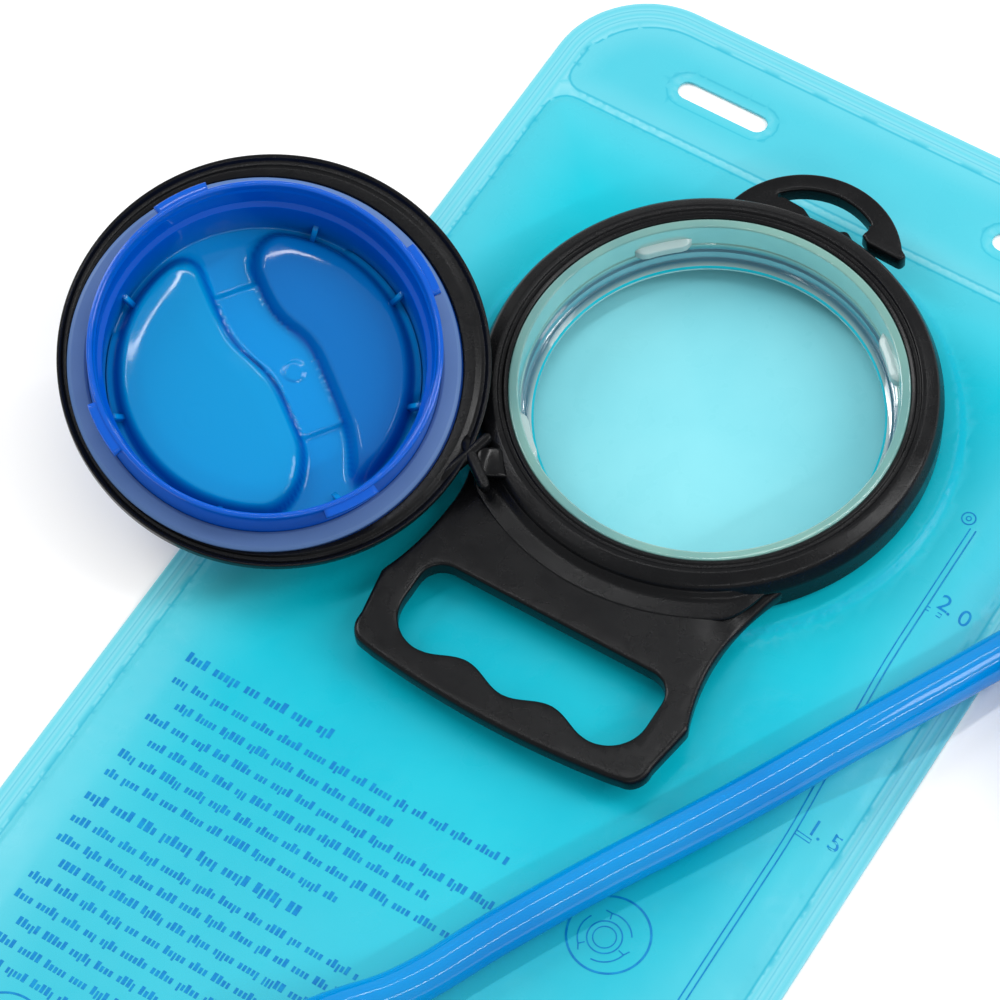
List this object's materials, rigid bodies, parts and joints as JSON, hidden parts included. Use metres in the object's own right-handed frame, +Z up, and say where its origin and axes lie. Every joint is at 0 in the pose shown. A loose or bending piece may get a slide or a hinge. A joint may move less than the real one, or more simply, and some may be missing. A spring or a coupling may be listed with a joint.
{
  "type": "hydration bladder",
  "caption": "Two-litre drinking-water reservoir of welded film with a wide screw-cap port, a carrying handle, a quick-release outlet, a hose and a push-pull bite valve.",
  "frame": {"origin": "On the plane that the empty bag lies on, straight below the centre of the fill port.", "axes": "+Y from the port to the hanging header along the bag's length, +X across the bag to the side the hose leaves by, +Z up, out of the fill port."},
  "size_m": [0.3821, 0.39, 0.0538],
  "materials": {
    "film_back": "thin translucent film, satin",
    "film_front": "thin translucent film, glossy, with fine creases",
    "port_clear": "clear moulded plastic",
    "black_textured": "fine spark-eroded texture",
    "black_soft": "satin elastomer",
    "cap_blue": "translucent moulded plastic, polished",
    "gasket": "satin silicone",
    "hose": "translucent polyurethane tube, smooth",
    "white_plastic": "plain moulded acetal",
    "spring_steel": "drawn wire",
    "o_ring": "satin rubber",
    "tip_blue": "satin moulded plastic",
    "mouthpiece": "soft translucent silicone",
    "cover_clear": "thin clear moulding"
  },
  "bodies": {
    "reservoir": {"back_film": "film_back", "front_film": "film_front", "fill_port": "port_clear", "collar_handle": "black_textured", "cap_tether": "black_soft", "outlet_flange": "cap_blue"},
    "cap_ring": {"cap_grip_ring": "black_textured"},
    "cap_core": {"cap_plug": "cap_blue", "cap_gasket": "gasket"},
    "socket": {"release_socket": "black_textured", "socket_o_ring": "o_ring", "spring_retainer": "white_plastic", "poppet_spring": "spring_steel"},
    "poppet": {"shutoff_poppet": "white_plastic"},
    "button": {"release_button": "black_textured", "button_spring": "spring_steel"},
    "hose": {"hose_elbow": "black_textured", "elbow_o_ring": "o_ring", "hose_run": "hose", "hose_coil": "hose", "hose_tail": "hose", "bite_valve_body": "black_textured", "valve_o_ring": "o_ring"},
    "tip": {"pull_tip": "tip_blue", "mouthpiece": "mouthpiece"},
    "cover": {"dust_cover": "cover_clear"}
  },
  "joints": [
    {"name": "cap_flip", "type": "hinge", "parent": "reservoir", "child": "cap_ring", "pos_m": [-0.04617, -0.02761, 0.02323], "axis": [-0.5043, 0.8552, 0.1199], "range_deg": [0, 174.03]},
    {"name": "cap_turn", "type": "hinge", "parent": "cap_ring", "child": "cap_core", "pos_m": [-0.0915, -0.0555, 0.0315], "axis": [0.2094, -0.1521, 0.9659], "range_deg": [0, 45]},
    {"name": "outlet_swivel", "type": "hinge", "parent": "reservoir", "child": "socket", "pos_m": [0, -0.25, 0.0054], "axis": [0, 0, 1], "range_deg": [-25, 0]},
    {"name": "connector_pull", "type": "slide", "parent": "socket", "child": "hose", "axis": [0, 0, 1], "range_m": [0, 0.014]},
    {"name": "poppet_lift", "type": "slide", "parent": "socket", "child": "poppet", "axis": [0, 0, 1], "range_m": [0, 0.0013], "deforming": ["poppet_spring"]},
    {"name": "button_press", "type": "slide", "parent": "socket", "child": "button", "axis": [0, 1, 0], "range_m": [0, 0.0016], "stiffness_N_per_m": 500, "springref_m": -0.0005},
    {"name": "tip_pull", "type": "slide", "parent": "hose", "child": "tip", "axis": [0, -1, 0], "range_m": [0, 0.005]},
    {"name": "cover_pull", "type": "slide", "parent": "hose", "child": "cover", "axis": [0, -1, 0], "range_m": [0, 0.032]}
  ],
  "couplings": [
    {"joint": "poppet_lift", "follows": "connector_pull", "ratio": 0.0928}
  ]
}
